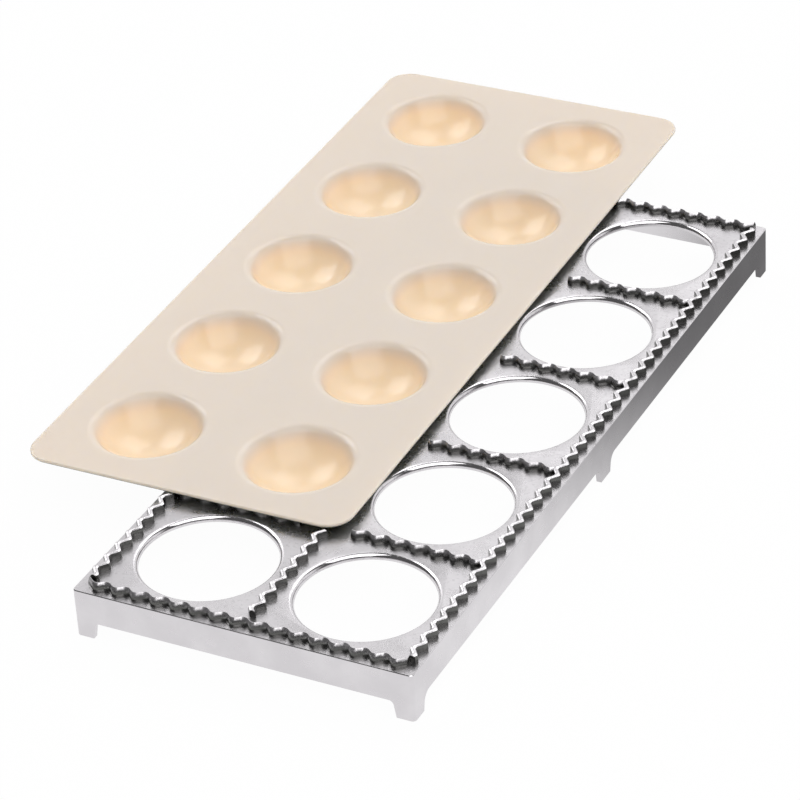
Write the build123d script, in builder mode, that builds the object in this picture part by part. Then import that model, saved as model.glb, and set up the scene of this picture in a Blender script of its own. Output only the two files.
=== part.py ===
"""Ravioli mould: a cast frame of round cells with zigzag cutting ridges, and the press tray laid on it."""

import os
from math import atan2, cos, radians, sin

from build123d import *

# Cells: a grid of square cells, each with a round hole
cell_pitch = 62.0
columns = 2
rows = 5
hole_radius = 25.0
hole_flare = 1.0

# Cast frame: a flat plate with a skirt all round it
frame_height = 19.2
plate_thickness = 2.2
plate_border = 4.2
skirt_depth = 12.5
skirt_wall = 2.0
corner_radius = 1.6
edge_break = 0.4

# Feet: the skirt reaches the table at the corners and halfway along each long side
corner_foot = 7.0
middle_foot = 8.0
foot_flare = 1.1
short_arch_radius = 1.5
long_arch_radius = 3.5

# Cutting ridges: a zigzag ribbon under a roof-shaped crown, along every side of every cell
teeth_per_cell = 8
tooth_sway = 1.4
ribbon_width = 2.8
ridge_crest = 3.1
ridge_edge = 1.4
ridge_root = 0.6
crossing_gap_x = 10.2
crossing_gap_y = 4.2
corner_reach = 2.8
end_gap_y = 5.2

# Press tray: a thin sheet with a bowl pressed down into it for each cell
tray_width = 131.4
tray_length = 317.4
tray_corner = 10.0
sheet_thickness = 1.4
bowl_depth = 12.8
bowl_mouth_radius = 22.8
bowl_waist_radius = 14.5
bowl_waist_drop = 8.1
bowl_floor_radius = 7.0

# How the tray lies: one cell to the left and one to the back, slid and turned a little
tray_slide_x = 2.5
tray_slide_y = -1.0
tray_turn = 0.6

# Worked out from the sizes above
grid_width = columns * cell_pitch
grid_length = rows * cell_pitch
frame_width = grid_width + 2 * plate_border
frame_length = grid_length + 2 * plate_border
foot_height = frame_height - skirt_depth
tooth_pitch = cell_pitch / teeth_per_cell
ridge_half_width = tooth_sway + ribbon_width / 2
roof_slope = (ridge_crest - ridge_edge) / ridge_half_width

# The origin is the middle of the whole object's footprint, on the table
turn = radians(tray_turn)
tray_straight_x = tray_width / 2 - tray_corner
tray_straight_y = tray_length / 2 - tray_corner
tray_reach_x = tray_straight_x * cos(turn) + tray_straight_y * abs(sin(turn)) + tray_corner
tray_reach_y = tray_straight_x * abs(sin(turn)) + tray_straight_y * cos(turn) + tray_corner
tray_shift_x = tray_slide_x - cell_pitch
tray_shift_y = tray_slide_y + cell_pitch
left_end = min(-frame_width / 2, tray_shift_x - tray_reach_x)
right_end = max(frame_width / 2, tray_shift_x + tray_reach_x)
front_end = min(-frame_length / 2, tray_shift_y - tray_reach_y)
back_end = max(frame_length / 2, tray_shift_y + tray_reach_y)
frame_x = -(left_end + right_end) / 2
frame_y = -(front_end + back_end) / 2

table_plane = Plane(origin=(frame_x, frame_y, 0))
plate_plane = Plane(origin=(frame_x, frame_y, frame_height))
front_view = Plane(table_plane.origin, x_dir=(1, 0, 0), z_dir=(0, -1, 0))
side_view = Plane(table_plane.origin, x_dir=(0, 1, 0), z_dir=(1, 0, 0))
tray_plane = Plane(
    origin=(frame_x + tray_shift_x, frame_y + tray_shift_y, frame_height + ridge_crest),
    x_dir=(cos(turn), sin(turn), 0),
    z_dir=(0, 0, 1),
)


def zigzag(cells):
    """Outline of a zigzag ribbon that runs along +X past the given number of cells."""
    start = -cells * cell_pitch / 2
    front = [(start - corner_reach, tooth_sway - ribbon_width / 2)]
    back = [(start - corner_reach, tooth_sway + ribbon_width / 2)]
    for step in range(2 * cells * teeth_per_cell + 1):
        x = start + step * tooth_pitch / 2
        middle = tooth_sway if step % 2 == 0 else -tooth_sway
        front.append((x, middle - ribbon_width / 2))
        back.append((x, middle + ribbon_width / 2))
    return front + back[::-1]


def line_places(cells):
    """Where the ridge lines lie across a row of cells, counted from its middle."""
    return [(line - cells / 2) * cell_pitch for line in range(cells + 1)]


def ridge_runs(cells, crossing_gap, start_gap, stop_gap):
    """Start and end of each unbroken ridge on one line, with a gap on both sides of each crossing."""
    ends = line_places(cells)
    crossings = ends[1:-1] if crossing_gap else []
    starts = [ends[0] + start_gap] + [place + crossing_gap for place in crossings]
    stops = [place - crossing_gap for place in crossings] + [ends[-1] - stop_gap]
    return list(zip(starts, stops))


def roof_section():
    """Section of a crown: two slopes from the crest down past the ribbon's edges."""
    reach = ridge_half_width + ridge_edge / roof_slope / 2
    eaves = ridge_crest - reach * roof_slope
    Polygon(
        (-reach, -ridge_root),
        (reach, -ridge_root),
        (reach, eaves),
        (0, ridge_crest),
        (-reach, eaves),
        align=None,
    )


def arch_section(width, radius):
    """Opening between two feet, wider at the table than at the skirt, with rounded upper corners."""
    half = width / 2
    shape = Polygon(
        (-half, 0),
        (half, 0),
        (half - foot_flare, foot_height),
        (-half + foot_flare, foot_height),
        align=None,
    )
    fillet(shape.vertices().sort_by(Axis.Z)[-2:], radius)


# Ridges across the frame: zigzag ribbons cut to their crowns
with BuildPart() as ridges_across:
    with BuildSketch(plate_plane.offset(-ridge_root)):
        with GridLocations(0, cell_pitch, 1, rows + 1):
            Polygon(*zigzag(columns), align=None)
    extrude(amount=ridge_root + ridge_crest)
with BuildPart() as crowns_across:
    for y in line_places(rows):
        outer = abs(y) > grid_length / 2 - cell_pitch / 2
        for start, stop in ridge_runs(columns, 0 if outer else crossing_gap_x, -corner_reach, 0):
            end_face = Plane(plate_plane.from_local_coords((start, y, 0)), x_dir=(0, 1, 0), z_dir=(1, 0, 0))
            with BuildSketch(end_face):
                roof_section()
            extrude(amount=stop - start)
with BuildPart() as cut_ridges_across:
    add(ridges_across.part)
    add(crowns_across.part, mode=Mode.INTERSECT)

# Ridges along the frame, made the same way
with BuildPart() as ridges_along:
    with BuildSketch(plate_plane.offset(-ridge_root)):
        with GridLocations(cell_pitch, 0, columns + 1, 1):
            Polygon(*zigzag(rows), rotation=90, align=None)
    extrude(amount=ridge_root + ridge_crest)
with BuildPart() as crowns_along:
    for x in line_places(columns):
        outer = abs(x) > grid_width / 2 - cell_pitch / 2
        end_gap = 0 if outer else end_gap_y
        for start, stop in ridge_runs(rows, 0 if outer else crossing_gap_y, end_gap, end_gap):
            end_face = Plane(plate_plane.from_local_coords((x, start, 0)), x_dir=(-1, 0, 0), z_dir=(0, 1, 0))
            with BuildSketch(end_face):
                roof_section()
            extrude(amount=stop - start)
with BuildPart() as cut_ridges_along:
    add(ridges_along.part)
    add(crowns_along.part, mode=Mode.INTERSECT)

# Frame: plate, skirt and feet cast in one piece with the ridges
with BuildPart() as ravioli_frame:
    with BuildSketch(table_plane):
        RectangleRounded(frame_width, frame_length, corner_radius)
    extrude(amount=frame_height)
    chamfer(ravioli_frame.faces().sort_by(Axis.Z)[-1].edges(), edge_break)
    with BuildSketch(table_plane):
        Rectangle(frame_width - 2 * skirt_wall, frame_length - 2 * skirt_wall)
    extrude(amount=frame_height - plate_thickness, mode=Mode.SUBTRACT)
    with Locations(plate_plane):
        with GridLocations(cell_pitch, cell_pitch, columns, rows):
            Cone(
                hole_radius,
                hole_radius + hole_flare,
                plate_thickness,
                align=(Align.CENTER, Align.CENTER, Align.MAX),
                mode=Mode.SUBTRACT,
            )
    with BuildSketch(front_view):
        arch_section(frame_width - 2 * corner_foot, short_arch_radius)
    extrude(amount=frame_length, both=True, mode=Mode.SUBTRACT)
    long_arch = (frame_length - middle_foot) / 2 - corner_foot
    with BuildSketch(side_view):
        with Locations((-(middle_foot + long_arch) / 2, 0), ((middle_foot + long_arch) / 2, 0)):
            arch_section(long_arch, long_arch_radius)
    extrude(amount=frame_width, both=True, mode=Mode.SUBTRACT)
    add(cut_ridges_across.part)
    add(cut_ridges_along.part)

# Section of a bowl from its axis outwards: a floor, a sloping lower wall and a steeper upper wall
lower_slope = atan2(bowl_depth - bowl_waist_drop, bowl_waist_radius - bowl_floor_radius)
upper_slope = atan2(bowl_waist_drop, bowl_mouth_radius - bowl_waist_radius)
bowl_floor = (bowl_floor_radius, sheet_thickness - bowl_depth)
bowl_waist = (bowl_waist_radius, sheet_thickness - bowl_waist_drop)
bowl_mouth = (bowl_mouth_radius, sheet_thickness)


def underside(bend, slope_below, slope_above):
    """Point under a bend of the bowl, one sheet thickness away from the walls on both sides of it."""
    lean = (slope_below + slope_above) / 2
    reach = sheet_thickness / cos((slope_above - slope_below) / 2)
    return (bend[0] + reach * sin(lean), bend[1] - reach * cos(lean))


seam = underside(bowl_mouth, upper_slope, 0)
with BuildPart() as bowl:
    with BuildSketch(Plane.XZ):
        Polygon(
            (0, bowl_floor[1]),
            bowl_floor,
            bowl_waist,
            bowl_mouth,
            (seam[0], sheet_thickness),
            seam,
            underside(bowl_waist, lower_slope, upper_slope),
            underside(bowl_floor, 0, lower_slope),
            (0, bowl_floor[1] - sheet_thickness),
            align=None,
        )
    revolve(axis=Axis.Z)

# Tray: the flat sheet, and a bowl in it for each cell
with BuildPart(tray_plane) as press_tray:
    with BuildSketch(tray_plane):
        RectangleRounded(tray_width, tray_length, tray_corner)
        with GridLocations(cell_pitch, cell_pitch, columns, rows):
            Circle(seam[0], mode=Mode.SUBTRACT)
    extrude(amount=sheet_thickness)
    with GridLocations(cell_pitch, cell_pitch, columns, rows):
        add(bowl.part)

ravioli_frame.part.label = "ravioli_frame"
press_tray.part.label = "press_tray"

os.makedirs("parts", exist_ok=True)
export_step(ravioli_frame.part, "parts/ravioli_frame.step")
export_step(press_tray.part, "parts/press_tray.step")
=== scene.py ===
"""Ravioli mould: a cast frame of ten round cells with zigzag cutting ridges, and the press tray laid on it.

Sizes are in millimetres, as a maker would note them, and become metres where a mesh is made.
Positions are counted from the middle of the frame's footprint, on the table.
Places closer than SAME count as one, and a cutter reaches PAST beyond what it cuts.
Corners closer than DOUBLED, in metres, are merged.
Edges that turn by more than SOFT_ANGLE degrees stay sharp.
"""

import logging
import math
from collections.abc import Callable, Iterable, Sequence
from dataclasses import dataclass
from enum import Enum

import bmesh
import bpy
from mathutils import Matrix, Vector


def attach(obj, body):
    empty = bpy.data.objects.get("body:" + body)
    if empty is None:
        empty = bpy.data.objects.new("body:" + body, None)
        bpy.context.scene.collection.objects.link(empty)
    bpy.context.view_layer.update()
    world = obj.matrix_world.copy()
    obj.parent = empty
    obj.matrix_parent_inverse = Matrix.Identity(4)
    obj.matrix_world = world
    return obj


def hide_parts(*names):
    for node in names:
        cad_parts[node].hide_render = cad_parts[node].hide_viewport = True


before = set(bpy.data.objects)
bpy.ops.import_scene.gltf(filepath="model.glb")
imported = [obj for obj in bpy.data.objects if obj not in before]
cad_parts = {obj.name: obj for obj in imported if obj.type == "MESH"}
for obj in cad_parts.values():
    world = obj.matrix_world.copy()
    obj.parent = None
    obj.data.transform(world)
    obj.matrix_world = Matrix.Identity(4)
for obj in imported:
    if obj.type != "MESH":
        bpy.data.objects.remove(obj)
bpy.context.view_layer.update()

log = logging.getLogger("ravioli_mould")

Point = tuple[float, float, float]
Colour = tuple[float, float, float, float]
Grain = tuple[float, float, float]
Test = Callable[[Sequence[Vector]], bool]

MM = 0.001
SAME = 0.01
PAST = 5.0
DOUBLED = 0.00001
SOFT_ANGLE = 32.0
BODY = "root"
FRAME_CENTRE = (30.277, -30.5376)


class Kind(Enum):
    """What a selection in edit mode is made of."""

    VERTS = "VERT"
    EDGES = "EDGE"
    FACES = "FACE"


class Cut(Enum):
    """How a second shape works on the first."""

    AWAY = "DIFFERENCE"
    TOGETHER = "UNION"
    COMMON = "INTERSECT"


class Bench:
    """Modelling steps, each by Blender's own operators."""

    @staticmethod
    def clear() -> None:
        """Leave edit mode and deselect everything."""
        if bpy.context.object is not None and bpy.context.object.mode != "OBJECT":
            bpy.ops.object.mode_set(mode="OBJECT")
        bpy.ops.object.select_all(action="DESELECT")

    @staticmethod
    def take(*pieces: bpy.types.Object) -> None:
        """Select some pieces alone, with the first one active.

        Args:
            pieces: The pieces to select.
        """
        Bench.clear()
        for piece in pieces:
            piece.select_set(True)
        bpy.context.view_layer.objects.active = pieces[0]

    @staticmethod
    def named(name: str) -> bpy.types.Object:
        """Name the primitive that was just added, and put its place into its mesh.

        Args:
            name: Name of the new piece.

        Returns:
            The new piece.
        """
        piece = bpy.context.object
        piece.name = name
        piece.data.name = name
        Bench.settle(piece)
        return piece

    @staticmethod
    def settle(piece: bpy.types.Object) -> None:
        """Put a piece's place, turn and scale into its mesh.

        Args:
            piece: The piece to settle.
        """
        Bench.take(piece)
        bpy.ops.object.transform_apply(location=True, rotation=True, scale=True)

    @staticmethod
    def block(name: str, low: Point, high: Point) -> bpy.types.Object:
        """Add a block between two corners.

        Args:
            name: Name of the block.
            low: Lowest corner, counted from the frame's middle.
            high: Highest corner, counted from the frame's middle.

        Returns:
            The block.
        """
        Bench.clear()
        size = [(b - a) * MM for a, b in zip(low, high)]
        middle = [(a + b) / 2 * MM for a, b in zip(low, high)]
        bpy.ops.mesh.primitive_cube_add(size=1, location=middle, scale=size)
        return Bench.named(name)

    @staticmethod
    def edit(piece: bpy.types.Object, kind: Kind) -> None:
        """Open a piece in edit mode with nothing selected.

        Args:
            piece: The piece to open.
            kind: What will be selected.
        """
        Bench.take(piece)
        bpy.ops.object.mode_set(mode="EDIT")
        bpy.ops.mesh.select_mode(type=kind.value)
        bpy.ops.mesh.select_all(action="DESELECT")

    @staticmethod
    def done() -> None:
        """Go back to object mode."""
        bpy.ops.object.mode_set(mode="OBJECT")

    @staticmethod
    def pick(piece: bpy.types.Object, kind: Kind, test: Test) -> int:
        """Select what passes a test, in the piece that is open in edit mode.

        Args:
            piece: The piece that is open.
            kind: Whether corners, edges or faces are tested.
            test: Is given the corner places of one element, in millimetres.

        Returns:
            How many were selected.
        """
        mesh = bmesh.from_edit_mesh(piece.data)
        groups = {Kind.VERTS: mesh.verts, Kind.EDGES: mesh.edges, Kind.FACES: mesh.faces}
        count = 0
        for element in groups[kind]:
            corners = [element] if kind is Kind.VERTS else element.verts
            chosen = test([corner.co / MM for corner in corners])
            element.select_set(chosen)
            count += chosen
        mesh.select_flush_mode()
        bmesh.update_edit_mesh(piece.data)
        return count

    @staticmethod
    def bevel(piece: bpy.types.Object, test: Test, width: float, steps: int) -> None:
        """Round the edges that pass a test.

        Args:
            piece: The piece to work on.
            test: Says which edges.
            width: Width of the rounding on each side of the edge.
            steps: Number of facets in the rounding.
        """
        Bench.edit(piece, Kind.EDGES)
        if Bench.pick(piece, Kind.EDGES, test):
            bpy.ops.mesh.bevel(
                offset=width * MM, segments=steps, profile=0.5, affect="EDGES", clamp_overlap=True
            )
        Bench.done()

    @staticmethod
    def apply(piece: bpy.types.Object) -> None:
        """Apply every modifier of a piece in order.

        Args:
            piece: The piece to finish.
        """
        Bench.take(piece)
        for modifier in list(piece.modifiers):
            bpy.ops.object.modifier_apply(modifier=modifier.name)

    @staticmethod
    def combine(piece: bpy.types.Object, other: bpy.types.Object, how: Cut) -> None:
        """Cut, join or intersect a piece with another one, which is used up.

        Args:
            piece: The piece that stays.
            other: The piece that works on it.
            how: What is done.
        """
        step = piece.modifiers.new(how.value, "BOOLEAN")
        step.operation = how.value
        step.object = other
        step.solver = "EXACT"
        Bench.apply(piece)
        bpy.data.objects.remove(other, do_unlink=True)

    @staticmethod
    def copies(piece: bpy.types.Object, shifts: Iterable[tuple[float, float]]) -> bpy.types.Object:
        """Repeat a piece at several shifts, as one mesh.

        Args:
            piece: The piece to repeat, which is used up.
            shifts: How far each copy is moved along X and Y.

        Returns:
            All the copies together.
        """
        made = []
        for x, y in shifts:
            twin = piece.copy()
            twin.data = piece.data.copy()
            bpy.context.collection.objects.link(twin)
            twin.location = Vector((x * MM, y * MM, 0))
            made.append(twin)
        Bench.take(*made)
        bpy.ops.object.transform_apply(location=True, rotation=False, scale=False)
        if len(made) > 1:
            bpy.ops.object.join()
        made[0].name = piece.name + "_set"
        bpy.data.objects.remove(piece, do_unlink=True)
        return made[0]

    @staticmethod
    def repeat(piece: bpy.types.Object, axis: int, pitch: float, count: int) -> None:
        """Add a modifier that repeats a piece in a row and merges what meets.

        Args:
            piece: The piece to repeat.
            axis: 0 for a row along X, 1 for one along Y.
            pitch: Distance from one to the next.
            count: How many there are.
        """
        row = piece.modifiers.new("row", "ARRAY")
        row.use_relative_offset = False
        row.use_constant_offset = True
        shift = [0.0, 0.0, 0.0]
        shift[axis] = pitch * MM
        row.constant_offset_displace = shift
        row.count = count
        row.use_merge_vertices = True
        row.merge_threshold = DOUBLED

    @staticmethod
    def smooth(piece: bpy.types.Object) -> None:
        """Merge doubled corners and shade smoothly, except over sharp edges.

        Args:
            piece: The piece to finish.
        """
        Bench.edit(piece, Kind.VERTS)
        bpy.ops.mesh.select_all(action="SELECT")
        bpy.ops.mesh.remove_doubles(threshold=DOUBLED)
        bpy.ops.mesh.normals_make_consistent(inside=False)
        Bench.done()
        bpy.ops.object.shade_smooth_by_angle(angle=math.radians(SOFT_ANGLE))


@dataclass
class CastFrame:
    """Cast frame: plate with round cells, skirt on feet, and the zigzag cutting ridges."""

    pitch: float = 62.0
    columns: int = 2
    rows: int = 5
    border: float = 4.2
    height: float = 19.2
    plate: float = 2.2
    skirt: float = 12.5
    wall: float = 2.0
    corner: float = 1.6
    corner_facets: int = 5
    top_edge: float = 0.25
    fillet: float = 0.8
    hole: float = 25.0
    hole_facets: int = 128
    lip: float = 1.8
    lip_facets: int = 6
    corner_foot: float = 7.0
    middle_foot: float = 8.0
    flare: float = 1.1
    short_arch: float = 1.5
    long_arch: float = 3.5
    arch_facets: int = 6
    teeth: int = 8
    sway: float = 1.55
    ribbon: float = 2.6
    root: float = 0.6
    across_bend: float = 1.7
    along_bend: float = 1.0
    bend_facets: int = 4
    corner_gap: float = 2.8
    across_section: tuple[tuple[float, float], ...] = ((1.4, 1.0), (2.45, 0.52), (3.1, 0.08))
    along_section: tuple[tuple[float, float], ...] = ((1.9, 1.0), (2.75, 0.75), (3.1, 0.2))
    gap_across: float = 10.2
    gap_along: float = 4.2
    gap_end: float = 5.2
    bar: float = 9.0

    @property
    def half_x(self) -> float:
        """Half the frame's width."""
        return self.columns * self.pitch / 2 + self.border

    @property
    def half_y(self) -> float:
        """Half the frame's length."""
        return self.rows * self.pitch / 2 + self.border

    def lines(self, cells: int) -> list[float]:
        """Where the ridge lines lie across a row of cells.

        Args:
            cells: Number of cells in the row.

        Returns:
            The place of each line, counted from the row's middle.
        """
        return [(line - cells / 2) * self.pitch for line in range(cells + 1)]

    def shell(self) -> bpy.types.Object:
        """Shape the plate and its skirt as one hollow block with a soft outline.

        Returns:
            The shell, without holes or feet.
        """
        x, y = self.half_x, self.half_y
        body = Bench.block("ravioli_frame_cast", (-x, -y, 0), (x, y, self.height))
        Bench.bevel(body, lambda ends: abs(ends[0].z - ends[1].z) > SAME, self.corner, self.corner_facets)
        Bench.bevel(body, lambda ends: min(end.z for end in ends) > self.height - SAME, self.top_edge, 1)
        inside = self.height - self.plate
        x, y = x - self.wall, y - self.wall
        pocket = Bench.block("pocket", (-x, -y, -PAST), (x, y, inside))
        Bench.bevel(pocket, lambda ends: max(end.z for end in ends) > inside - SAME, self.fillet, 3)
        Bench.combine(body, pocket, Cut.AWAY)
        return body

    def hole_cutter(self) -> bpy.types.Object:
        """Shape what one hole takes away, with a lip that opens in a round to the plate's top.

        Returns:
            The cutter, in the middle of the frame.
        """
        low = self.height - self.plate - PAST
        top = self.height - self.lip
        Bench.clear()
        bpy.ops.mesh.primitive_cylinder_add(
            vertices=self.hole_facets,
            radius=self.hole * MM,
            depth=(top - low) * MM,
            location=(0, 0, (top + low) / 2 * MM),
        )
        cutter = Bench.named("hole_cutter")
        Bench.edit(cutter, Kind.FACES)
        Bench.pick(cutter, Kind.FACES, lambda corners: min(corner.z for corner in corners) > top - SAME)
        radius, level = self.hole, top
        for step in range(1, self.lip_facets + 1):
            turn = math.pi / 2 * step / self.lip_facets
            wider = self.hole + self.lip * (1 - math.cos(turn))
            higher = top + self.lip * math.sin(turn)
            self.raise_cap(higher - level, wider / radius)
            radius, level = wider, higher
        self.raise_cap(PAST, 1.0)
        Bench.done()
        return cutter

    @staticmethod
    def raise_cap(rise: float, growth: float) -> None:
        """Pull the selected round cap up and make it wider.

        Args:
            rise: How far it goes up.
            growth: How many times wider it becomes.
        """
        bpy.ops.mesh.extrude_region_move(TRANSFORM_OT_translate={"value": (0, 0, rise * MM)})
        bpy.ops.transform.resize(value=(growth, growth, 1), center_override=(0, 0, 0))

    def arch_cutter(
        self, name: str, low: Point, high: Point, radius: float, along_x: bool
    ) -> bpy.types.Object:
        """Shape what an opening between two feet takes away.

        Args:
            name: Name of the cutter.
            low: Lowest corner.
            high: Highest corner.
            radius: Radius of its upper corners.
            along_x: Whether it runs along X.

        Returns:
            The cutter.
        """
        cutter = Bench.block(name, low, high)
        across = 1 if along_x else 0
        wide = high[across] - low[across]
        growth = [1.0, 1.0, 1.0]
        growth[across] = (wide + 2 * self.flare) / wide
        middle = [(a + b) / 2 * MM for a, b in zip(low, high)]
        Bench.edit(cutter, Kind.FACES)
        Bench.pick(cutter, Kind.FACES, lambda corners: max(corner.z for corner in corners) < low[2] + SAME)
        bpy.ops.transform.resize(value=growth, center_override=middle)
        Bench.done()

        def upper_corner(ends: Sequence[Vector]) -> bool:
            """Say whether an edge runs along the arch at its top."""
            first, last = ends
            return min(first.z, last.z) > high[2] - SAME and abs(first[across] - last[across]) < SAME

        Bench.bevel(cutter, upper_corner, radius, self.arch_facets)
        return cutter

    def open_feet(self, body: bpy.types.Object) -> None:
        """Cut the openings that leave six feet under the skirt.

        Args:
            body: The shell to cut.
        """
        x, y = self.half_x, self.half_y
        top = self.height - self.skirt
        side = x - self.corner_foot - self.flare
        low, high = (-side, -y - PAST, 0), (side, y + PAST, top)
        Bench.combine(body, self.arch_cutter("end_arches", low, high, self.short_arch, False), Cut.AWAY)
        near = self.middle_foot / 2 + self.flare
        far = y - self.corner_foot - self.flare
        for name, start, stop in (("front_arches", -far, -near), ("back_arches", near, far)):
            low, high = (-x - PAST, start, 0), (x + PAST, stop, top)
            Bench.combine(body, self.arch_cutter(name, low, high, self.long_arch, True), Cut.AWAY)

    def zigzag(
        self, name: str, cells: int, levels: Sequence[tuple[float, float]], bend: float
    ) -> bpy.types.Object:
        """Sweep a section along a zigzag on X, one tooth first and then repeated.

        Args:
            name: Name of the ridge.
            cells: Number of cells that it passes.
            levels: Height of each corner of the section over the plate, and its share of the full width.
            bend: How far each bend is rounded along its legs.

        Returns:
            The ridge, closed at both ends.
        """
        step = self.pitch / self.teeth / 2
        start = -cells * self.pitch / 2
        ridge = self.section(name, start, levels)
        Bench.edit(ridge, Kind.EDGES)
        bpy.ops.mesh.select_all(action="SELECT")
        for sway in (-2 * self.sway, 2 * self.sway):
            bpy.ops.mesh.extrude_edges_move(TRANSFORM_OT_translate={"value": (step * MM, sway * MM, 0)})
        Bench.done()
        Bench.repeat(ridge, 0, 2 * step, cells * self.teeth)
        Bench.apply(ridge)
        Bench.edit(ridge, Kind.EDGES)
        bpy.ops.mesh.select_non_manifold()
        bpy.ops.mesh.edge_face_add()
        bpy.ops.mesh.select_all(action="SELECT")
        bpy.ops.mesh.normals_make_consistent(inside=False)
        Bench.done()
        inner = -start - step / 2

        def at_bend(ends: Sequence[Vector]) -> bool:
            """Say whether an edge lies across the ridge at a bend."""
            return abs(ends[0].x - ends[1].x) < SAME and abs(ends[0].x) < inner

        Bench.bevel(ridge, at_bend, bend, self.bend_facets)
        return ridge

    def section(self, name: str, start: float, levels: Sequence[tuple[float, float]]) -> bpy.types.Object:
        """Draw the outline of a ridge's section: upright sides under a crest.

        Args:
            name: Name of the ridge.
            start: Where it stands on X.
            levels: Height of each corner over the plate, and its share of the full width.

        Returns:
            The outline, a closed loop of edges.
        """
        low, high = self.height - self.root, self.height + levels[0][0]
        Bench.clear()
        bpy.ops.mesh.primitive_plane_add(
            size=1,
            location=(start * MM, self.sway * MM, (low + high) / 2 * MM),
            rotation=(0, math.pi / 2, 0),
        )
        bpy.context.object.scale = ((high - low) * MM, self.ribbon * MM, 1)
        outline = Bench.named(name)
        Bench.edit(outline, Kind.EDGES)
        Bench.pick(outline, Kind.EDGES, lambda ends: min(end.z for end in ends) > high - SAME)
        for (height, share), (higher, narrower) in zip(levels, levels[1:]):
            rise = (higher - height) * MM
            bpy.ops.mesh.extrude_edges_move(TRANSFORM_OT_translate={"value": (0, 0, rise)})
            bpy.ops.transform.resize(
                value=(1, narrower / share, 1), center_override=(start * MM, self.sway * MM, 0)
            )
        bpy.ops.mesh.select_all(action="SELECT")
        bpy.ops.mesh.dissolve_faces()
        bpy.ops.mesh.delete(type="ONLY_FACE")
        Bench.done()
        return outline

    def keep_runs(self, ridge: bpy.types.Object, runs: Sequence[tuple[float, float]]) -> None:
        """Cut a ridge down to its runs.

        Args:
            ridge: The whole ridge line.
            runs: Start and end of each run along X.
        """
        low, high = self.height - self.root - PAST, self.height + PAST
        bars = [Bench.block("run", (start, -self.bar, low), (stop, self.bar, high)) for start, stop in runs]
        Bench.take(*bars)
        if len(bars) > 1:
            bpy.ops.object.join()
        Bench.combine(ridge, bars[0], Cut.COMMON)

    def runs(self, cells: int, gap: float, start_gap: float, stop_gap: float) -> list[tuple[float, float]]:
        """Split a ridge line at its crossings.

        Args:
            cells: Number of cells that the line passes.
            gap: Distance from each crossing to the ridge on both sides.
            start_gap: Distance from the line's start to the first ridge.
            stop_gap: Distance from the last ridge to the line's end.

        Returns:
            Start and end of each run.
        """
        ends = self.lines(cells)
        crossings = ends[1:-1]
        starts = [ends[0] + start_gap] + [place + gap for place in crossings]
        stops = [place - gap for place in crossings] + [ends[-1] - stop_gap]
        return list(zip(starts, stops))

    def ridges_across(self) -> bpy.types.Object:
        """Shape the ridges that run across the frame.

        Returns:
            All of them as one mesh.
        """
        places = self.lines(self.rows)
        outer = self.zigzag("outer_across", self.columns, self.across_section, self.across_bend)
        outer = Bench.copies(outer, [(0, places[0]), (0, places[-1])])
        inner = self.zigzag("inner_across", self.columns, self.across_section, self.across_bend)
        self.keep_runs(inner, self.runs(self.columns, self.gap_across, 0, 0))
        inner = Bench.copies(inner, [(0, place) for place in places[1:-1]])
        Bench.take(outer, inner)
        bpy.ops.object.join()
        return outer

    def ridges_along(self) -> bpy.types.Object:
        """Shape the ridges that run along the frame.

        Returns:
            All of them as one mesh.
        """
        places = self.lines(self.columns)
        outer = self.zigzag("outer_along", self.rows, self.along_section, self.along_bend)
        reach = self.rows * self.pitch / 2 - self.corner_gap
        self.keep_runs(outer, [(-reach, reach)])
        inner = self.zigzag("inner_along", self.rows, self.along_section, self.along_bend)
        self.keep_runs(inner, self.runs(self.rows, self.gap_along, self.gap_end, self.gap_end))
        for ridge in (outer, inner):
            ridge.rotation_euler.z = math.pi / 2
            Bench.settle(ridge)
        outer = Bench.copies(outer, [(places[0], 0), (places[-1], 0)])
        inner = Bench.copies(inner, [(place, 0) for place in places[1:-1]])
        Bench.take(outer, inner)
        bpy.ops.object.join()
        return outer

    def build(self) -> bpy.types.Object:
        """Make the whole casting in its place.

        Returns:
            The casting.
        """
        body = self.shell()
        holes = [(x, y) for x in self.middles(self.columns) for y in self.middles(self.rows)]
        Bench.combine(body, Bench.copies(self.hole_cutter(), holes), Cut.AWAY)
        self.open_feet(body)
        Bench.combine(body, self.ridges_across(), Cut.TOGETHER)
        Bench.combine(body, self.ridges_along(), Cut.TOGETHER)
        body.location = (FRAME_CENTRE[0] * MM, FRAME_CENTRE[1] * MM, 0)
        Bench.settle(body)
        Bench.smooth(body)
        return body

    def middles(self, cells: int) -> list[float]:
        """Where the cells' middles lie in a row.

        Args:
            cells: Number of cells in the row.

        Returns:
            The place of each middle, counted from the row's middle.
        """
        return [(cell - (cells - 1) / 2) * self.pitch for cell in range(cells)]


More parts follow.
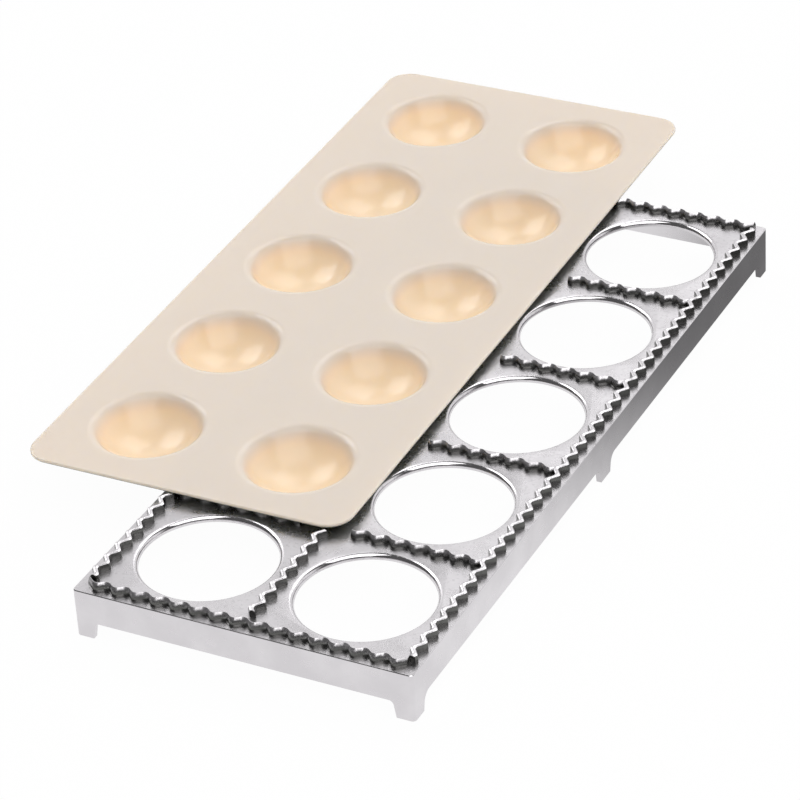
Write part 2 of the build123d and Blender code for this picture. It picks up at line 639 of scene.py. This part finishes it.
@dataclass
class PressTray:
    """Press tray: a thin sheet with ten round bowls pressed down into it."""

    pitch: float = 62.0
    columns: int = 2
    rows: int = 5
    width: float = 131.4
    length: float = 317.4
    corner: float = 10.0
    sheet: float = 1.4
    mouth: float = 23.3
    brim: float = 4.5
    depth: float = 13.0
    dome: float = 22.88
    swing: float = 58.3
    edge: float = 0.6
    brim_steps: int = 8
    dome_steps: int = 12
    around: int = 64
    collar: float = 1.2
    border: float = 4.0
    corner_facets: int = 14
    underside: float = 22.3
    shift_x: float = -59.5
    shift_y: float = 61.0
    turn: float = 0.6

    def profile(self) -> list[tuple[float, float]]:
        """Follow the bowl's upper face from its mouth down to its lowest ring.

        Returns:
            Radius and height of each ring, with the sheet's top at height 0.
        """
        rings = []
        for step in range(self.brim_steps + 1):
            turn = math.radians(self.swing * step / self.brim_steps)
            rings.append((self.mouth - self.brim * math.sin(turn), -self.brim * (1 - math.cos(turn))))
        for step in range(1, self.dome_steps):
            turn = math.radians(self.swing * (1 - step / self.dome_steps))
            rings.append((self.dome * math.sin(turn), self.dome * (1 - math.cos(turn)) - self.depth))
        return rings

    def cell(self) -> bpy.types.Object:
        """Shape one square of the sheet with its bowl.

        Returns:
            The upper face of one cell, around the origin at height 0.
        """
        Bench.clear()
        side = self.around // 4
        bpy.ops.mesh.primitive_grid_add(x_subdivisions=side, y_subdivisions=side, size=self.pitch * MM)
        square = Bench.named("press_tray_sheet")
        half = self.pitch / 2 - SAME
        Bench.edit(square, Kind.VERTS)
        Bench.pick(square, Kind.VERTS, lambda at: max(abs(at[0].x), abs(at[0].y)) < half)
        bpy.ops.mesh.delete(type="VERT")
        Bench.done()
        Bench.clear()
        rings = self.profile()
        start = rings[0][0] + self.collar
        bpy.ops.mesh.primitive_circle_add(vertices=self.around, radius=start * MM)
        ring = Bench.named("bowl_mouth")
        Bench.take(square, ring)
        bpy.ops.object.join()
        Bench.edit(square, Kind.EDGES)
        bpy.ops.mesh.select_all(action="SELECT")
        bpy.ops.mesh.bridge_edge_loops()
        Bench.pick(square, Kind.EDGES, lambda ends: all(end.xy.length < start + SAME for end in ends))
        radius, level = start, 0.0
        for wide, high in rings:
            bpy.ops.mesh.extrude_edges_move(TRANSFORM_OT_translate={"value": (0, 0, (high - level) * MM)})
            bpy.ops.transform.resize(value=(wide / radius, wide / radius, 1), center_override=(0, 0, 0))
            radius, level = wide, high
        bpy.ops.mesh.merge(type="CENTER")
        bpy.ops.mesh.select_all(action="SELECT")
        bpy.ops.mesh.normals_make_consistent(inside=False)
        Bench.done()
        return square

    def spread(self, sheet: bpy.types.Object) -> None:
        """Repeat the cell over the tray and draw the sheet's border out past its outline.

        Args:
            sheet: One cell, which becomes the whole sheet.
        """
        for axis, count in ((0, self.columns), (1, self.rows)):
            Bench.repeat(sheet, axis, self.pitch, count)
        Bench.apply(sheet)
        sheet.location = [(1 - count) * self.pitch / 2 * MM for count in (self.columns, self.rows)] + [0]
        Bench.settle(sheet)
        x, y = self.columns * self.pitch / 2, self.rows * self.pitch / 2
        Bench.edit(sheet, Kind.EDGES)
        bpy.ops.mesh.select_non_manifold()
        bpy.ops.mesh.extrude_edges_move(TRANSFORM_OT_translate={"value": (0, 0, 0)})
        growth = ((self.width / 2 + self.border) / x, (self.length / 2 + self.border) / y, 1)
        bpy.ops.transform.resize(value=growth, center_override=(0, 0, 0))
        bpy.ops.mesh.select_all(action="SELECT")
        bpy.ops.mesh.normals_make_consistent(inside=False)
        Bench.done()

    def build(self) -> bpy.types.Object:
        """Make the whole tray in its place on the ridges.

        Returns:
            The tray.
        """
        sheet = self.cell()
        self.spread(sheet)
        if sheet.data.polygons[0].normal.z < 0:
            sheet.data.flip_normals()
        wall = sheet.modifiers.new("wall", "SOLIDIFY")
        wall.thickness = self.sheet * MM
        wall.offset = -1
        wall.use_even_offset = True
        Bench.apply(sheet)
        half_x, half_y = self.width / 2, self.length / 2
        low = -self.depth - self.sheet - PAST
        outline = Bench.block("outline", (-half_x, -half_y, low), (half_x, half_y, PAST))
        Bench.bevel(
            outline, lambda ends: abs(ends[0].z - ends[1].z) > SAME, self.corner, self.corner_facets
        )
        Bench.combine(sheet, outline, Cut.COMMON)
        Bench.smooth(sheet)
        rim = sheet.modifiers.new("edge", "BEVEL")
        rim.width = self.edge * MM
        rim.segments = 3
        rim.limit_method = "ANGLE"
        rim.angle_limit = math.radians(60)
        Bench.apply(sheet)
        sheet.rotation_euler.z = math.radians(self.turn)
        sheet.location = (
            (FRAME_CENTRE[0] + self.shift_x) * MM,
            (FRAME_CENTRE[1] + self.shift_y) * MM,
            (self.underside + self.sheet) * MM,
        )
        Bench.settle(sheet)
        Bench.smooth(sheet)
        return sheet


class Board:
    """A material's or a group's node tree, filled node by node."""

    def __init__(self, tree: bpy.types.NodeTree) -> None:
        """Keep the tree.

        Args:
            tree: The node tree to fill.
        """
        self.tree = tree

    def add(self, kind: str, **settings: object) -> bpy.types.Node:
        """Add a node.

        Args:
            kind: Node type, such as ShaderNodeMath.
            settings: Properties of the node.

        Returns:
            The node.
        """
        node = self.tree.nodes.new(kind)
        for name, value in settings.items():
            setattr(node, name, value)
        return node

    def wire(self, source: bpy.types.NodeSocket, target: bpy.types.NodeSocket) -> None:
        """Join an output to an input."""
        self.tree.links.new(source, target)

    def fill(self, target: bpy.types.NodeSocket, value: object) -> None:
        """Give an input a plain value, or join it if the value is an output.

        Args:
            target: The input.
            value: A number, a colour or another node's output.
        """
        if isinstance(value, bpy.types.NodeSocket):
            self.wire(value, target)
        else:
            target.default_value = value

    def math(self, operation: str, *values: object) -> bpy.types.NodeSocket:
        """Work out a number.

        Args:
            operation: Name of the operation.
            values: Its inputs.

        Returns:
            The result.
        """
        node = self.add("ShaderNodeMath", operation=operation)
        for target, value in zip(node.inputs, values):
            self.fill(target, value)
        return node.outputs[0]

    def ramp(
        self, value: object, low: float, high: float, to_low: object, to_high: object
    ) -> bpy.types.NodeSocket:
        """Map a value from one range to another, smoothly and clamped.

        Args:
            value: The value.
            low: Start of its range.
            high: End of its range.
            to_low: Result at the start.
            to_high: Result at the end.

        Returns:
            The result.
        """
        node = self.add("ShaderNodeMapRange", interpolation_type="SMOOTHSTEP")
        for target, given in zip(node.inputs, (value, low, high, to_low, to_high)):
            self.fill(target, given)
        return node.outputs[0]

    def blend(self, mask: object, first: object, second: object) -> bpy.types.NodeSocket:
        """Blend two colours.

        Args:
            mask: 0 for the first colour and 1 for the second.
            first: A colour.
            second: A colour.

        Returns:
            The blended colour.
        """
        node = self.add("ShaderNodeMix", data_type="RGBA")
        for target, value in zip((node.inputs[0], node.inputs[6], node.inputs[7]), (mask, first, second)):
            self.fill(target, value)
        return node.outputs[2]


class Effects:
    """Effects that both finishes use. The grain is built once, as a node group."""

    @staticmethod
    def grain() -> bpy.types.NodeTree:
        """Build or find the grain: noise at one size, brought between two values.

        Returns:
            The group.
        """
        if "surface_grain" in bpy.data.node_groups:
            return bpy.data.node_groups["surface_grain"]
        tree = bpy.data.node_groups.new("surface_grain", "ShaderNodeTree")
        tree.interface.new_socket("Place", in_out="INPUT", socket_type="NodeSocketVector")
        for name in ("Size", "Low", "High"):
            tree.interface.new_socket(name, in_out="INPUT", socket_type="NodeSocketFloat")
        tree.interface.new_socket("Value", in_out="OUTPUT", socket_type="NodeSocketFloat")
        board = Board(tree)
        given = board.add("NodeGroupInput")
        result = board.add("NodeGroupOutput")
        noise = board.add("ShaderNodeTexNoise")
        noise.inputs["Detail"].default_value = 3.0
        board.wire(given.outputs["Place"], noise.inputs["Vector"])
        board.wire(given.outputs["Size"], noise.inputs["Scale"])
        value = board.ramp(noise.outputs[0], 0.3, 0.7, given.outputs["Low"], given.outputs["High"])
        board.wire(value, result.inputs["Value"])
        return tree

    @staticmethod
    def place_grain(
        board: Board, place: object, size: float, low: float, high: float
    ) -> bpy.types.NodeSocket:
        """Put the grain into a material with its own values.

        Args:
            board: The material's node tree.
            place: Coordinates that the grain follows.
            size: How fine the grain is.
            low: Its lowest value.
            high: Its highest value.

        Returns:
            The grain's value.
        """
        node = board.add("ShaderNodeGroup", node_tree=Effects.grain())
        for target, value in zip(node.inputs, (place, size, low, high)):
            board.fill(target, value)
        return node.outputs[0]

    @staticmethod
    def upward(board: Board) -> bpy.types.NodeSocket:
        """Tell how far a face is turned up.

        Args:
            board: The material's node tree.

        Returns:
            1 for a face that looks up, 0 for an upright one and -1 for one that looks down.
        """
        facing = board.add("ShaderNodeSeparateXYZ")
        board.wire(board.add("ShaderNodeTexCoord").outputs["Normal"], facing.inputs[0])
        return facing.outputs[2]

    @staticmethod
    def bump(board: Board, height: bpy.types.NodeSocket, strength: float, depth: float) -> None:
        """Press a height into the material's surface.

        Args:
            board: The material's node tree.
            height: The height, between 0 and 1.
            strength: How strongly it shows.
            depth: Depth of the full height, in metres.
        """
        bump = board.add("ShaderNodeBump")
        bump.inputs["Strength"].default_value = strength
        bump.inputs["Distance"].default_value = depth
        board.wire(height, bump.inputs["Height"])
        board.wire(bump.outputs[0], board.tree.nodes["Principled BSDF"].inputs["Normal"])


@dataclass(frozen=True)
class CastMetal:
    """Bright cast metal: satin sides, a polished top with a slight wave, and a painted dark reflection on the
    upright ridge sides.

    Grains are given as how fine they are, their lowest value and their highest one. Heights are in metres.
    """

    slot: str = "cast_metal"
    light: Colour = (0.72, 0.7, 0.72, 1.0)
    dull: Colour = (0.66, 0.64, 0.66, 1.0)
    speck: Colour = (0.36, 0.35, 0.36, 1.0)
    # Painted dark reflection: the colour of the upright faces above the plate, chiefly the ridges' sides.
    painted_dark_reflection: Colour = (0.13, 0.13, 0.125, 1.0)
    satin_below: float = 0.0168
    polished_above: float = 0.0173
    lips_below: float = 0.01887
    plate_from: float = 0.01917
    painted_dark_above: float = 0.0189
    painted_dark_fade: float = 0.00005
    turned_up: tuple[float, float] = (0.02, 0.15)
    steep: tuple[float, float] = (0.25, 0.65)
    clouds: Grain = (70.0, 0.0, 1.0)
    specks: Grain = (800.0, 0.0, 1.0)
    speck_rarity: float = 5.0
    speck_tint: float = 0.3
    speck_roughness: float = 0.15
    top_roughness: Grain = (90.0, 0.23, 0.33)
    lip_share: float = 0.25
    side_roughness: Grain = (200.0, 0.27, 0.31)
    waves: Grain = (38.0, 0.0, 1.0)
    fine_waves: Grain = (420.0, 0.0, 0.02)
    wave_depth: float = 0.00012

    def build(self) -> bpy.types.Material:
        """Make the material.

        Returns:
            The material.
        """
        material = bpy.data.materials.new("bright_cast_metal")
        material.use_nodes = True
        board = Board(material.node_tree)
        shader = material.node_tree.nodes["Principled BSDF"]
        shader.inputs["Metallic"].default_value = 1.0
        place = board.add("ShaderNodeTexCoord").outputs["Object"]
        parts = board.add("ShaderNodeSeparateXYZ")
        board.wire(place, parts.inputs[0])
        height = parts.outputs[2]
        upward = Effects.upward(board)
        high = board.ramp(height, self.satin_below, self.polished_above, 0.0, 1.0)
        polish = board.math("MULTIPLY", high, board.ramp(upward, *self.turned_up, 0.0, 1.0))
        specks = board.math("POWER", Effects.place_grain(board, place, *self.specks), self.speck_rarity)
        speck = board.math("MULTIPLY", specks, polish)
        base = board.blend(Effects.place_grain(board, place, *self.clouds), self.light, self.dull)
        marked = board.blend(board.math("MULTIPLY", speck, self.speck_tint), base, self.speck)
        # Painted dark reflection: upright faces from just under the plate's top upward, chiefly the ridges'
        # sides, are darkened, standing for the dark surroundings they would reflect.
        over = board.ramp(height, self.painted_dark_above, self.painted_dark_above + self.painted_dark_fade, 0.0, 1.0)
        painted_dark_reflection = board.math("MULTIPLY", board.ramp(upward, *self.steep, 1.0, 0.0), over)
        board.wire(board.blend(painted_dark_reflection, marked, self.painted_dark_reflection), shader.inputs["Base Color"])
        roughness = self.roughness(board, place, polish)
        rougher = board.math("ADD", roughness, board.math("MULTIPLY", speck, self.speck_roughness))
        board.wire(rougher, shader.inputs["Roughness"])
        waves = Effects.place_grain(board, place, *self.waves)
        fine = Effects.place_grain(board, place, *self.fine_waves)
        relief = board.math("MULTIPLY", board.math("ADD", waves, fine), polish)
        Effects.bump(board, relief, 1.0, self.wave_depth)
        return material

    def roughness(
        self, board: Board, place: bpy.types.NodeSocket, polish: bpy.types.NodeSocket
    ) -> bpy.types.NodeSocket:
        """Work out the roughness: satin sides, a polished top and shinier hole lips.

        Args:
            board: The material's node tree.
            place: Object coordinates.
            polish: 1 on the polished faces.

        Returns:
            The roughness.
        """
        parts = board.add("ShaderNodeSeparateXYZ")
        board.wire(place, parts.inputs[0])
        lips = board.ramp(parts.outputs[2], self.lips_below, self.plate_from, self.lip_share, 1.0)
        top = board.math("MULTIPLY", Effects.place_grain(board, place, *self.top_roughness), lips)
        side = Effects.place_grain(board, place, *self.side_roughness)
        mixed = board.add("ShaderNodeMix", data_type="FLOAT")
        for target, value in zip((mixed.inputs[0], mixed.inputs[2], mixed.inputs[3]), (polish, side, top)):
            board.fill(target, value)
        return mixed.outputs[0]


@dataclass(frozen=True)
class TrayPlastic:
    """Cream glossy plastic that lets some light through, with a painted glow that makes the bowls warmer and
    brighter, and a painted shade that makes the underside darker.

    Grains are given as how fine they are, their lowest value and their highest one. Depths are in metres.
    """

    tray: PressTray
    slot: str = "tray_plastic"
    cream: Colour = (0.722, 0.638, 0.56, 1.0)
    # Painted glow: the bowls' warmer, brighter colour stands for light passing through the thin bowls.
    painted_glow: Colour = (0.94, 0.7, 0.505, 1.0)
    # Painted shade: the colour of faces that look down.
    painted_underside_shade: Colour = (0.3, 0.32, 0.28, 1.0)
    cloud: Colour = (0.71, 0.62, 0.54, 1.0)
    clouds: Grain = (25.0, 0.97, 1.0)
    turned_down: tuple[float, float] = (-0.5, 0.0)
    painted_glow_within: float = 6.3
    cream_from: float = 2.3
    roughness: Grain = (40.0, 0.16, 0.22)
    scatter: tuple[float, float, float] = (1.0, 0.95, 0.75)
    scatter_depth: float = 0.0023
    ior: float = 1.5
    waves: Grain = (30.0, 0.0, 1.0)
    wave_strength: float = 0.1
    wave_depth: float = 0.0004

    def build(self) -> bpy.types.Material:
        """Make the material.

        Returns:
            The material.
        """
        material = bpy.data.materials.new("cream_tray_plastic")
        material.use_nodes = True
        board = Board(material.node_tree)
        shader = material.node_tree.nodes["Principled BSDF"]
        shader.inputs["Subsurface Weight"].default_value = 1.0
        shader.inputs["Subsurface Radius"].default_value = self.scatter
        shader.inputs["Subsurface Scale"].default_value = self.scatter_depth
        shader.inputs["IOR"].default_value = self.ior
        place = board.add("ShaderNodeTexCoord").outputs["Object"]
        # Painted glow: the bowls get a warmer, brighter colour, standing for light that passes through them
        # and bounces within.
        colour = board.blend(self.bowl_mask(board, place), self.cream, self.painted_glow)
        clouded = board.blend(Effects.place_grain(board, place, *self.clouds), self.cloud, colour)
        # Painted shade: faces that look down are darkened, standing for the shade under the tray.
        painted_shade_below = board.ramp(Effects.upward(board), *self.turned_down, 1.0, 0.0)
        board.wire(board.blend(painted_shade_below, clouded, self.painted_underside_shade), shader.inputs["Base Color"])
        board.wire(Effects.place_grain(board, place, *self.roughness), shader.inputs["Roughness"])
        waves = Effects.place_grain(board, place, *self.waves)
        Effects.bump(board, waves, self.wave_strength, self.wave_depth)
        return material

    def bowl_mask(self, board: Board, place: bpy.types.NodeSocket) -> bpy.types.NodeSocket:
        """Mark where the painted glow goes: 1 inside each bowl, 0 on the flat sheet.

        Args:
            board: The material's node tree.
            place: Object coordinates.

        Returns:
            The mask.
        """
        turned = board.add("ShaderNodeMapping", vector_type="TEXTURE")
        turned.inputs["Location"].default_value = (
            (FRAME_CENTRE[0] + self.tray.shift_x) * MM,
            (FRAME_CENTRE[1] + self.tray.shift_y) * MM,
            0,
        )
        turned.inputs["Rotation"].default_value = (0, 0, math.radians(self.tray.turn))
        board.wire(place, turned.inputs["Vector"])
        parts = board.add("ShaderNodeSeparateXYZ")
        board.wire(turned.outputs[0], parts.inputs[0])
        half = self.tray.pitch * MM / 2
        across = board.math("PINGPONG", board.math("SUBTRACT", parts.outputs[0], half), half)
        along = board.math("PINGPONG", parts.outputs[1], half)
        square = board.math("ADD", board.math("POWER", across, 2.0), board.math("POWER", along, 2.0))
        painted_glow, cream = ((self.tray.mouth - inward) * MM for inward in (self.painted_glow_within, self.cream_from))
        return board.ramp(board.math("SQRT", square), painted_glow, cream, 1.0, 0.0)


@dataclass(frozen=True)
class StudioLight:
    """A large soft lamp that looks at the middle of the object, with metres for sizes and watts for power."""

    name: str
    place: Point
    width: float
    height: float
    power: float

    def build(self) -> None:
        """Hang the lamp and turn it to the middle."""
        data = bpy.data.lights.new(self.name, "AREA")
        data.shape = "RECTANGLE"
        data.size = self.width
        data.size_y = self.height
        data.energy = self.power
        lamp = bpy.data.objects.new(self.name, data)
        lamp.location = self.place
        lamp.rotation_euler = (-Vector(self.place)).to_track_quat("-Z", "Y").to_euler()
        bpy.context.collection.objects.link(lamp)


@dataclass
class Studio:
    """Plain pale floor, soft light and the camera.

    Places are in metres. The floor lies a hair under the feet, so that the two never share a plane.
    """

    lens: float = 171.39
    camera_place: Point = (0.58245, -1.08733, 0.78602)
    camera_turn: Point = (57.194, 3.0438, 26.3749)
    floor_level: float = -0.0002
    dim: float = 0.11
    bright: float = 0.95
    behind: tuple[float, float] = (-0.05, 0.45)
    low: tuple[float, float] = (0.53, 0.78)
    fade_right: tuple[float, float] = (0.02, 0.12)
    fade_back: tuple[float, float] = (-0.14, 0.1)
    near_floor: float = 1.0
    painted_floor_shade: float = 0.15
    floor_size: float = 60.0
    floor_colour: Colour = (0.85, 0.85, 0.85, 1.0)
    floor_roughness: float = 0.9
    floor_shine: float = 0.97
    lamps: tuple[StudioLight, ...] = (
        StudioLight("back_window", (0.04, 1.15, 1.63), 1.2, 1.2, 10.0),
        StudioLight("left_window", (-1.42, 0.3, 1.38), 1.1, 1.2, 12.0),
        StudioLight("front_panel", (0.76, -0.76, 1.57), 2.0, 2.0, 26.0),
    )

    def floor(self) -> bpy.types.Object:
        """Lay the floor: plainly white where the picture or a shine shows it, and fading to the back right,
        where a painted shade darkens what the metal reflects.

        Returns:
            The floor.
        """
        Bench.clear()
        bpy.ops.mesh.primitive_plane_add(size=self.floor_size, location=(0, 0, self.floor_level))
        floor = Bench.named("studio_floor")
        material = bpy.data.materials.new("pale_floor")
        material.use_nodes = True
        board = Board(material.node_tree)
        shader = material.node_tree.nodes["Principled BSDF"]
        output = material.node_tree.nodes["Material Output"]
        shader.inputs["Base Color"].default_value = self.floor_colour
        shader.inputs["Roughness"].default_value = self.floor_roughness
        rays = board.add("ShaderNodeLightPath")
        shine = board.add("ShaderNodeEmission")
        shine.inputs["Color"].default_value = (1, 1, 1, 1)
        parts = board.add("ShaderNodeSeparateXYZ")
        board.wire(board.add("ShaderNodeTexCoord").outputs["Object"], parts.inputs[0])
        # Painted shade: the floor's glow that the metal reflects fades toward the back right, standing for
        # shade on the floor beside the frame.
        right = board.ramp(parts.outputs[0], *self.fade_right, 0.0, 1.0)
        back = board.ramp(parts.outputs[1], *self.fade_back, 0.0, 1.0)
        near = board.ramp(board.math("MULTIPLY", right, back), 0.0, 1.0, self.near_floor, self.painted_floor_shade)
        seen = board.math("MAXIMUM", rays.outputs["Is Camera Ray"], rays.outputs["Is Transmission Ray"])
        board.wire(board.math("MAXIMUM", seen, near), shine.inputs["Strength"])
        mix = board.add("ShaderNodeMixShader")
        shown = board.math("MAXIMUM", seen, rays.outputs["Is Glossy Ray"])
        board.wire(board.math("MULTIPLY", shown, self.floor_shine), mix.inputs[0])
        board.wire(shader.outputs[0], mix.inputs[1])
        board.wire(shine.outputs[0], mix.inputs[2])
        board.wire(mix.outputs[0], output.inputs["Surface"])
        floor.data.materials.append(material)
        return floor

    def world(self) -> None:
        """Fill the surroundings: bright behind the object near the horizon, dim above and in front."""
        world = bpy.data.worlds.new("studio_world")
        bpy.context.scene.world = world
        world.use_nodes = True
        board = Board(world.node_tree)
        ground = world.node_tree.nodes["Background"]
        ground.inputs["Color"].default_value = (1.0, 1.0, 1.0, 1.0)
        parts = board.add("ShaderNodeSeparateXYZ")
        board.wire(board.add("ShaderNodeTexCoord").outputs["Generated"], parts.inputs[0])
        behind = board.ramp(parts.outputs[1], *self.behind, 0.0, 1.0)
        low = board.ramp(parts.outputs[2], *self.low, 1.0, 0.0)
        share = board.math("MULTIPLY", behind, low)
        board.wire(board.ramp(share, 0.0, 1.0, self.dim, self.bright), ground.inputs["Strength"])

    def camera(self) -> None:
        """Place the camera at the picture's angle."""
        data = bpy.data.cameras.new("camera")
        data.lens = self.lens
        data.sensor_width = 36.0
        data.clip_end = 100.0
        camera = bpy.data.objects.new("camera", data)
        camera.location = self.camera_place
        camera.rotation_euler = [math.radians(angle) for angle in self.camera_turn]
        bpy.context.collection.objects.link(camera)
        bpy.context.scene.camera = camera

    def build(self) -> None:
        """Set up the whole studio."""
        self.floor()
        self.world()
        for lamp in self.lamps:
            lamp.build()
        self.camera()
        bpy.context.scene.view_settings.view_transform = "Standard"


def fit(piece: bpy.types.Object, node: str, finish: CastMetal | TrayPlastic) -> None:
    """Give a piece its finish and its place in the frame.

    Args:
        piece: The finished piece.
        node: The node that it stands for.
        finish: Its finish.
    """
    piece.data.materials.clear()
    piece.data.materials.append(finish.build())
    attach(piece, BODY)
    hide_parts(node)
    triangles = sum(len(face.vertices) - 2 for face in piece.data.polygons)
    log.info("%s stands for %s with %d triangles", piece.name, node, triangles)


def main() -> None:
    """Build the mould piece by piece, and the studio round it."""
    logging.basicConfig(level=logging.INFO, format="%(name)s: %(message)s")
    fit(CastFrame().build(), "ravioli_frame", CastMetal())
    tray = PressTray()
    fit(tray.build(), "press_tray", TrayPlastic(tray))
    Studio().build()


if __name__ == "__main__":
    main()
